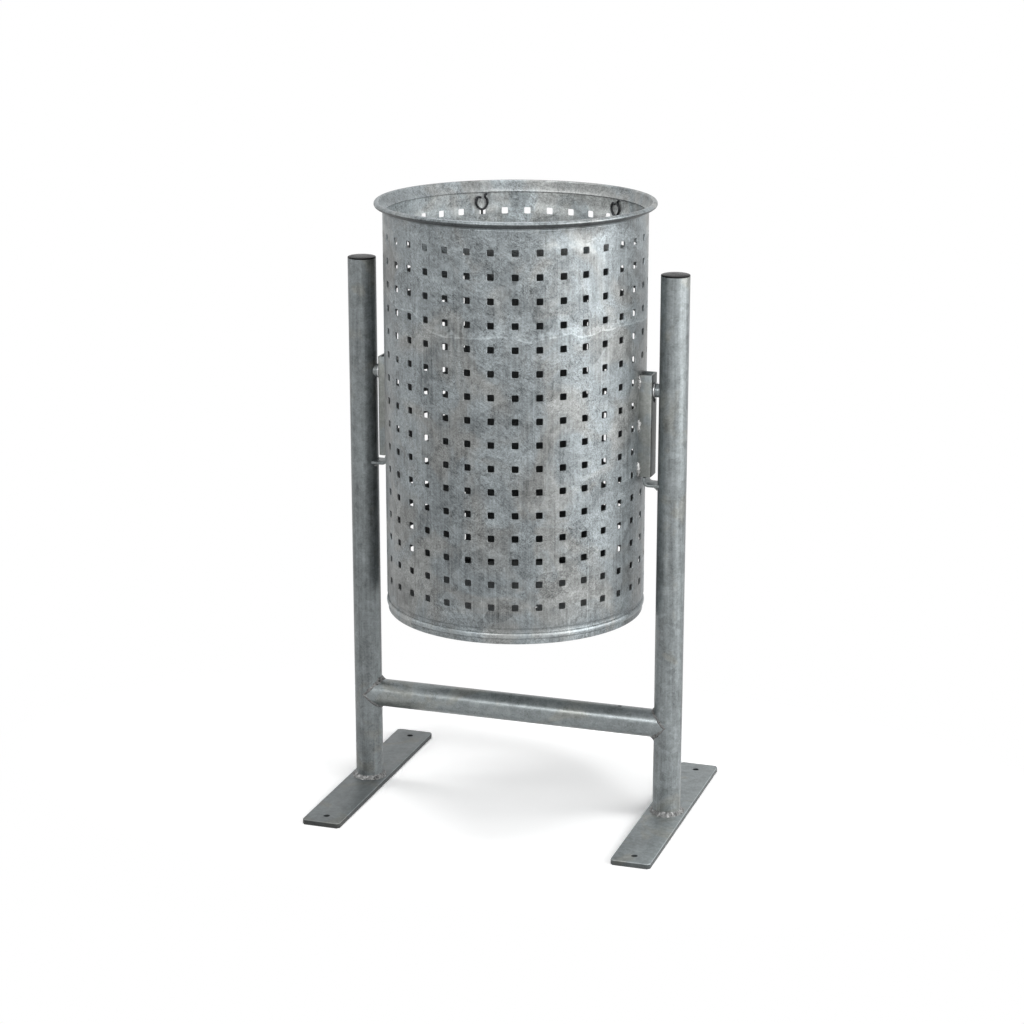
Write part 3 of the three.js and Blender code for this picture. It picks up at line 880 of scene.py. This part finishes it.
def drum():
    """The whole wall: punched, rolled up, given its thickness, and its two edges formed."""
    shape = rolled_up(punched_sheet())
    low = min(vert.co.z for vert in shape.verts)
    high = max(vert.co.z for vert in shape.verts)
    bmesh.ops.solidify(shape, geom=shape.faces[:], thickness=sheet)
    inner_radius = min(hypot(vert.co.x, vert.co.y) for vert in shape.verts)
    for vert in shape.verts:
        radius = hypot(vert.co.x, vert.co.y)
        wanted = bin_radius if radius > (bin_radius + inner_radius) / 2 else bin_radius - sheet
        vert.co.x *= wanted / radius
        vert.co.y *= wanted / radius
    ends = [
        face for face in shape.faces
        if all(abs(vert.co.z - low) < 2e-5 for vert in face.verts)
        or all(abs(vert.co.z - high) < 2e-5 for vert in face.verts)
    ]
    bmesh.ops.delete(shape, geom=ends, context="FACES")
    outer_rings = {height: ring_edges(shape, bin_radius, height) for height in (low, high)}
    inner_rings = {height: ring_edges(shape, bin_radius - sheet, height) for height in (low, high)}
    for height, (outer, inner) in ((high, rim_outlines()), (low, foot_outlines())):
        carried_on(shape, outer_rings[height], outer)
        carried_on(shape, inner_rings[height], inner)
    bmesh.ops.remove_doubles(shape, verts=shape.verts, dist=1e-6)
    bmesh.ops.recalc_face_normals(shape, faces=shape.faces)

    def on_punched_edge(edge):
        if len(edge.link_faces) != 2 or edge.calc_face_angle() < radians(60):
            return False
        outside = all(hypot(vert.co.x, vert.co.y) > bin_radius - 1e-5 for vert in edge.verts)
        return outside and all(low < vert.co.z < high for vert in edge.verts)

    round_off(shape, [edge for edge in shape.edges if on_punched_edge(edge)], hole_edge, 1)
    shape.normal_update()
    for face in shape.faces:
        outward = Vector((*face.calc_center_median().xy, 0)).normalized()
        face.material_index = int(face.normal.dot(outward) < -0.3)
    return shape


def bin_zinc_finish(name, tone, metal, shade_inside=0.0, dulled=0.0, shaded=0.0):
    """Zinc on the sheet: crystals, clouds and runs, the pale tide mark, painted shade lower down inside and
    under the lip, and a painted highlight on the foot bead.
    """
    finish = Finish(name)
    where = finish.place()
    broad = finish.clouds(where, 13, 4.0, 0.6, 0.9)
    hue = finish.clouds(finish.place(move=(3, 1, 2)), 9, 3.0, 0.55, 1.4)
    grain = finish.clouds(where, 520, 3.0, 0.75)
    mottle = finish.clouds(where, 95, 3.0, 0.65, 0.8)
    runs = finish.clouds(finish.place((260, 260, 8)), 1, 4.0, 0.65, 0.3)
    lightness, needles = zinc_crystals(finish, where, wall_crystal)
    coarse, _ = zinc_crystals(finish, finish.place(move=(1, 2, 3)), wall_coarse_crystal)
    shown = finish.between(broad, 0.40, 0.60)
    feathered = finish.node(
        "ShaderNodeMapping", None, {"Vector": finish.slanted(where, feather_slant), "Scale": (1, 1, 0.13)}
    )
    feathers = finish.clouds(feathered, 460, 3.0, 0.7, 0.3)

    sideways = finish.along(where, "X")
    height = finish.along(where, "Z")
    wave = finish.clouds(finish.place((1, 1, 0.3)), 9, 3.0, 0.5, 0.2)
    climb = finish.between(sideways, -0.035, -0.140)
    above = height - tide_height - tide_climb * climb - 0.05 * (wave - 0.5)
    patchy = finish.between(mottle, 0.40, 0.58)
    line = finish.between(above, -0.0016, -0.0004) * finish.between(above, 0.0020, 0.0006)
    band = finish.between(above, -0.001, 0.0015) * finish.between(above, 0.016, 0.006)
    upper = height - (top_row + 0.004) - 0.04 * (wave - 0.5)
    smear = finish.between(upper, -0.010, 0.0) * finish.between(upper, 0.012, 0.004)
    whitened = (
        0.50 * line * (0.45 + 0.55 * patchy) + 0.34 * band * patchy
        + 0.55 * smear * finish.between(hue, 0.42, 0.56)
    )
    for way, low, high in drips:
        off = finish.towards(where, (cos(way), sin(way), 0)) + 0.006 * (wave - 0.5) + 0.0010 * (mottle - 0.5)
        facing = finish.towards(where, (-sin(way), cos(way), 0))
        drip = finish.between(off, -0.0007, -0.0001) * finish.between(off, 0.0009, 0.0002)
        reach = finish.between(height, low, low + 0.01) * finish.between(height, high, high - 0.02)
        whitened = whitened + 0.8 * drip * reach * finish.between(facing, -0.15, -0.18) * (0.4 + 0.6 * patchy)

    # Painted shade under the rolled lip, used on the outside only.
    under_lip = wall_high.z - height
    painted_shade = finish.between(under_lip, 0.0036, 0.0050) * finish.between(under_lip, 0.0118, 0.0100)
    flared = finish.between(under_lip, 0.0185, 0.0150)
    above_foot = height - wall_low.z
    # Painted highlight on the rolled bead near the foot.
    painted_highlight = finish.between(above_foot, 0.0082, 0.0095) * finish.between(above_foot, 0.0165, 0.0145)
    speckle = finish.between(grain, 0.40, 0.60) - 0.5
    # The last factor of the level is painted shade inside the drum, deepening lower down.
    level = (
        0.96
        + 0.7 * (broad - 0.5)
        + 0.32 * (coarse - 0.5)
        + 1.1 * (feathers - 0.5) * finish.between(hue, 0.58, 0.44)
        + 0.24 * (lightness - 0.5)
        + 1.7 * (needles - 0.5) * (0.4 + 0.6 * shown)
        + 0.85 * (mottle - 0.5)
        + 1.3 * (runs - 0.5) * (1.0 - 0.7 * shown)
        + 0.50 * speckle * (0.45 + 0.55 * shown)
        + whitened
        + 0.35 * painted_highlight
    ) * (1.0 - shade_inside * finish.between(height, inside_shade_top, inside_shade_full))
    # Painted shade under the lip on the outside; inside, the flare is darker than the wall.
    level = level * (1.0 - shaded * painted_shade) * (1.0 - dulled * flared)
    cool = (0.90 * tone, 1.0 * tone, 1.04 * tone, 1)
    warm = (0.965 * tone, 1.0 * tone, 0.985 * tone, 1)
    colour = finish.mixed(finish.between(hue, 0.42, 0.62), cool, warm)
    unevenness = finish.clouds(where, 42, 2.0, 0.5)
    return finish.surface(
        Base_Color=finish.tinted(colour, level),
        Metallic=metal,
        Roughness=0.42 + 0.12 * (lightness - 0.5) + 0.12 * speckle + 0.1 * whitened,
        Normal=finish.bump(0.5 * unevenness + 0.2 * needles + 0.1 * runs + 0.3 * grain, wall_relief),
    )


bin_zinc = bin_zinc_finish("bin_zinc", wall_tone, zinc_metal, shaded=lip_shaded)
inner_zinc_lit_and_shaded = bin_zinc_finish("inner_zinc_lit_and_shaded", inner_lit_tone, inner_metal, inner_painted_shade, flare_darkened)
bin_wall = finished("perforated_wall", drum(), bin_zinc, 0.0, 30)
bin_wall.data.materials.append(inner_zinc_lit_and_shaded)
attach(bin_wall, "bin")
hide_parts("bin_wall")

# Bin floor.
# A pressed steel dish closes the foot of the drum. Its skirt points down inside the drawn-in band,
# and four holes let the rain out.

floor_low, floor_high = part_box("bin_floor")
floor_slack = 0.0003
floor_radius = bin_radius + band_in - sheet - floor_slack
floor_bend = 0.004
floor_bend_steps = 6
drain_hole = 0.012
drain_circle = 0.120
drain_count = 4


def floor_outline():
    outside, inside = floor_radius, floor_radius - sheet
    top, under = floor_high.z, floor_high.z - sheet
    upper, lower = [], []
    for step in range(floor_bend_steps + 1):
        turned = step / floor_bend_steps * pi / 2
        upper.append((
            outside - floor_bend + floor_bend * sin(turned), top - floor_bend + floor_bend * cos(turned),
        ))
        lower.append((
            outside - floor_bend + (floor_bend - sheet) * sin(turned),
            top - floor_bend + (floor_bend - sheet) * cos(turned),
        ))
    skirt = [(outside, floor_low.z), (inside, floor_low.z)]
    return [(0, top)] + upper + skirt + lower[::-1] + [(0, under)]


drills = []
for drain in range(drain_count):
    turned = (drain + 0.5) * tau / drain_count
    x, y = drain_circle / 2 * cos(turned), drain_circle / 2 * sin(turned)
    drills.append(rod((x, y, floor_low.z), (x, y, floor_high.z + sheet), drain_hole / 2, 32))
dish = spun(floor_outline(), 120, closed=False)
bmesh.ops.remove_doubles(dish, verts=dish.verts, dist=1e-6)
bmesh.ops.recalc_face_normals(dish, faces=dish.faces)
dish = joined(dish, drills)
bin_floor = finished("pressed_floor", dish, bin_zinc)
# The dish's upper face takes the inside finish, which down here is mostly painted shade.
bin_floor.data.materials.append(inner_zinc_lit_and_shaded)
for face in bin_floor.data.polygons:
    face.material_index = int(face.normal.z > 0.3)
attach(bin_floor, "bin")
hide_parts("bin_floor")

# Side channels.
# A bent U of 3 mm steel is welded upright to each side of the drum, open at top and bottom. The
# slot in its web hangs on the pivot bolt and lets the bin be lifted off the lock tabs.

channel_low, channel_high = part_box("right_channel")
channel_wall = 0.003
channel_bend = 0.003
channel_edge = 0.0004
channel_root = 0.1922
lift = 0.012
channel_tone = 0.235


def channel():
    y, inner_y = channel_high.y, channel_high.y - channel_wall
    face, inside = channel_high.x, channel_high.x - channel_wall
    section = [
        (channel_root, -y), (face, -y), (face, y), (channel_root, y),
        (channel_root, inner_y), (inside, inner_y), (inside, -inner_y), (channel_root, -inner_y),
    ]
    points = [(x, across, channel_low.z) for x, across in section]
    shape = flat_shape(points, channel_high.z - channel_low.z, (0, 0, 1))

    def upright_at(x_wanted):
        return [
            edge for edge in shape.edges
            if all(abs(vert.co.x - x_wanted) < 1e-5 for vert in edge.verts)
            and abs(edge.verts[0].co.z - edge.verts[1].co.z) > channel_wall
        ]

    round_off(shape, upright_at(face), channel_bend, 4)
    round_off(shape, upright_at(inside), channel_edge * 2, 2)
    shape.normal_update()
    sharp = [edge for edge in shape.edges if edge.calc_face_angle() > radians(60)]
    round_off(shape, sharp, channel_edge, 2)
    slot_top = (inside - channel_wall, 0, pivot_height)
    slot_end = (face + channel_wall, 0, pivot_height)
    drop = Vector((0, 0, -lift))
    cutters = [
        rod(slot_top, slot_end, bolt_hole / 2),
        rod(Vector(slot_top) + drop, Vector(slot_end) + drop, bolt_hole / 2),
        block(
            (slot_top[0], -bolt_hole / 2, pivot_height - lift), (slot_end[0], bolt_hole / 2, pivot_height),
        ),
    ]
    return joined(shape, cutters)


# Painted shade darkens the web's outer face, which faces the post.
channel_zinc = galvanized(
    "channel_zinc", channel_tone, 0.12, 0.6, 0.46, warm=0.9,
    painted_shade=("X", channel_high.x - 0.0014, channel_high.x - 0.0003, 0.42),
)
for side, turn in side_turns.items():
    side_channel = finished(f"side_channel_{side}", channel(), channel_zinc, turn)
    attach(side_channel, "bin")
    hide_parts(f"{side}_channel")

# Channel welds.
# Three short beads down each edge hold the channel to the drum. They are rough, lumpy and bright.

tack_reach = 0.0042


def tack_weld(low, high, edge):
    """A lump in the corner between the drum and the channel's side."""
    y = channel_high.y
    root = Vector((sqrt(bin_radius ** 2 - y ** 2), edge * y, (low + high) / 2))
    shape = bmesh.new()
    bmesh.ops.create_uvsphere(
        shape, u_segments=20, v_segments=16, radius=1,
        matrix=Matrix.Translation(root) @ Matrix.Diagonal((tack_reach, tack_reach, (high - low) / 2, 1)),
    )
    return roughened(shape, 0.0009, 0.0034)


tack_zinc = weld_finish("tack_zinc", 0.36)
for side, turn in side_turns.items():
    for edge_name, edge in (("near", -1), ("far", 1)):
        for number in (1, 2, 3):
            node = f"{side}_channel_weld_{edge_name}_{number}"
            low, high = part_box(node)
            bead = tack_weld(low.z, high.z, edge)
            weld_piece = finished(f"tack_{side}_{edge_name}_{number}", bead, tack_zinc, turn, 80)
            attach(weld_piece, "bin")
            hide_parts(node)

# Bag hooks.
# Four hooks bent from shiny plated wire sit inside the rim, to hold a litter bag. Each is an open ring with
# one end flicked up and the other curled in, on a short stem that is welded to the sheet.

hook_wire = 0.0036
hook_half = 0.0088  # half the ring's width
hook_bends = [
    (0.9, 1.7), (0.55, 1.2), (0.95, 0.55), (0.85, -0.4), (0, -1.05), (-0.85, -0.4), (-1, 0.5),
    (-0.6, 1.1), (-0.1, 0.95),
]
hook_stem = 0.008
hook_below_rim = 0.033
hook_angle = radians(34)
hook_radius = (bin_radius - sheet) * cos(pi / columns) - 0.0003 - hook_wire / 2
hook_turns = {
    "back_right": -hook_angle, "back_left": hook_angle,
    "front_left": pi - hook_angle, "front_right": pi + hook_angle,
}


# The wire's near-black colour is a painted reflection of the bin's dark inside.
def painted_dark_wire(name):
    """Slightly oily plated steel wire, coloured near-black as a painted reflection of the bin's dark inside.
    """
    finish = Finish(name)
    where = finish.place()
    wear = finish.clouds(where, 300, 3.0, 0.6)
    colour = finish.mixed(finish.between(wear, 0.5, 0.75), (0.028, 0.030, 0.033, 1), (0.12, 0.12, 0.12, 1))
    return finish.surface(
        Base_Color=colour, Metallic=0.7, Roughness=0.42 + 0.2 * (wear - 0.5),
        Normal=finish.bump(wear, 0.0001),
    )


def bag_hook(name, turn):
    """Two lengths of wire as one curve: the open ring and its stem."""
    wire = bpy.data.curves.new(name, "CURVE")
    wire.dimensions = "3D"
    wire.bevel_depth = hook_wire / 2
    wire.bevel_resolution = 3
    wire.resolution_u = 8
    wire.use_fill_caps = True
    place = Matrix.Rotation(turn, 4, "Z") @ Matrix.Translation(
        (0, hook_radius, wall_high.z - hook_below_rim)
    )
    stem = [(0, -1.0), (0, -1.0 - hook_stem / hook_half)]
    for line in (hook_bends, stem):
        spline = wire.splines.new("BEZIER")
        spline.bezier_points.add(len(line) - 1)
        for point, (across, up) in zip(spline.bezier_points, line):
            point.co = place @ Vector((across * hook_half, 0, up * hook_half))
            point.handle_left_type = point.handle_right_type = "AUTO"
    made = bpy.data.objects.new(name, wire)
    bpy.context.scene.collection.objects.link(made)
    return made


hook_finish = painted_dark_wire("hook_wire_painted_dark")
for place_name, turn in hook_turns.items():
    hook = bag_hook(f"wire_hook_{place_name}", turn)
    hook.data.materials.append(hook_finish)
    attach(hook, "bin")
    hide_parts(f"bag_hook_{place_name}")

# Studio.
# A white sweep carries the soft shadow under the bin. A large soft light stands on the right,
# level with the bin, two smaller ones high in front, a strip overhead, and a weak one on the left.

sweep_radius = 6.0
sweep_bend = 2.0
sweep_top = 5.0
floor_gap = 0.0003
sweep_steps = 12
floor_white = 1.35  # as the camera and reflections see the floor
floor_paint = 0.35  # as it lights the object
shadow_fades = (0.25, 0.9)  # metres from the middle
shadow_narrow = 1.8
shadow_back = 0.08
lamps = {  # place, width and height, power
    "side_light": ((2.56, -0.45, 1.0), (2.9, 1.7), 70),
    "front_light": ((1.35, -1.85, 1.62), (1.8, 0.4), 13),
    "bar_light": ((-0.35, -2.3, 1.6), (0.8, 0.32), 16),
    "top_light": ((-0.25, 0.05, 3.2), (0.5, 2.6), 42),
    "fill_light": ((-3.0, -0.85, 1.1), (0.35, 1.9), 9),
}
lamp_aim = Vector((0, 0, 0.5))
world_level = 0.30  # the white air's light on the object
camera_azimuth = 18.29
camera_elevation = 15.66
camera_distance = 3.8117
camera_target = Vector((-0.0056, 0, 0.4572))
picture_width = 1024
focal_pixels = 2540.8
sensor = 36.0


def white_sweep(name):
    """White for the camera and for reflections, with the object's shadow kept on it."""
    finish = Finish(name)
    where = finish.place((1, shadow_narrow, 1), (0, -shadow_narrow * shadow_back, 0))
    away = finish.node("ShaderNodeVectorMath", {"operation": "LENGTH"}, {0: where}, "Value")
    paint = finish.node("ShaderNodeBsdfDiffuse", None, {"Color": (floor_paint,) * 3 + (1,)})
    lit = finish.node("ShaderNodeBsdfDiffuse", None, {"Color": (floor_white,) * 3 + (1,)})
    far = finish.node("ShaderNodeEmission", None, {"Color": (1, 1, 1, 1), "Strength": 1.0})
    spread = finish.between(away, *shadow_fades)
    shown = finish.node("ShaderNodeMixShader", None, {0: spread, 1: lit, 2: far})
    seen = [
        finish.node("ShaderNodeLightPath", output=way)
        for way in ("Is Camera Ray", "Is Glossy Ray", "Is Transmission Ray")
    ]
    share = finish.between(seen[0] + seen[1] + seen[2], 0.0, 1.0)
    whole = finish.node("ShaderNodeMixShader", None, {0: share, 1: paint, 2: shown})
    finish.node("ShaderNodeOutputMaterial", None, {"Surface": whole})
    return finish.material


outline = [(0, 0), (sweep_radius - sweep_bend, 0)]
for step in range(1, sweep_steps + 1):
    turned = step / sweep_steps * pi / 2
    outline.append((
        sweep_radius - sweep_bend + sweep_bend * sin(turned), sweep_bend - sweep_bend * cos(turned),
    ))
outline.append((sweep_radius, sweep_top))
sweep = moved(spun(outline, 96, closed=False), (0, 0, -floor_gap))
bmesh.ops.remove_doubles(sweep, verts=sweep.verts, dist=1e-5)
studio_sweep = loose_object("studio_sweep", sweep)
studio_sweep.data.materials.append(white_sweep("studio_white"))
studio_sweep.data.shade_smooth()

for name, (place, size, power) in lamps.items():
    light = bpy.data.lights.new(name, "AREA")
    light.shape = "RECTANGLE"
    light.size, light.size_y = size
    light.energy = power
    stand = bpy.data.objects.new(name, light)
    stand.location = place
    stand.visible_camera = False
    stand.rotation_euler = (lamp_aim - stand.location).to_track_quat("-Z", "Y").to_euler()
    bpy.context.scene.collection.objects.link(stand)

world = bpy.data.worlds.new("studio_air")
world.use_nodes = True
air = world.node_tree
paths = air.nodes.new("ShaderNodeLightPath")
seen = paths.outputs["Is Camera Ray"]
for way in ("Is Glossy Ray", "Is Transmission Ray"):
    either = air.nodes.new("ShaderNodeMath")
    either.operation = "MAXIMUM"
    air.links.new(seen, either.inputs[0])
    air.links.new(paths.outputs[way], either.inputs[1])
    seen = either.outputs[0]
strength = air.nodes.new("ShaderNodeMapRange")
strength.inputs["To Min"].default_value = world_level
air.links.new(seen, strength.inputs["Value"])
air.links.new(strength.outputs[0], air.nodes["Background"].inputs["Strength"])
air.nodes["Background"].inputs["Color"].default_value = (1, 1, 1, 1)
bpy.context.scene.world = world
bpy.context.scene.view_settings.view_transform = "Standard"

lens = bpy.data.cameras.new("camera")
lens.sensor_width = sensor
lens.lens = focal_pixels / picture_width * sensor
camera = bpy.data.objects.new("camera", lens)
turned, raised = radians(camera_azimuth), radians(camera_elevation)
back = Vector((sin(turned) * cos(raised), -cos(turned) * cos(raised), sin(raised)))
camera.location = camera_target + back * camera_distance
camera.rotation_euler = (-back).to_track_quat("-Z", "Y").to_euler()
bpy.context.scene.collection.objects.link(camera)
bpy.context.scene.camera = camera
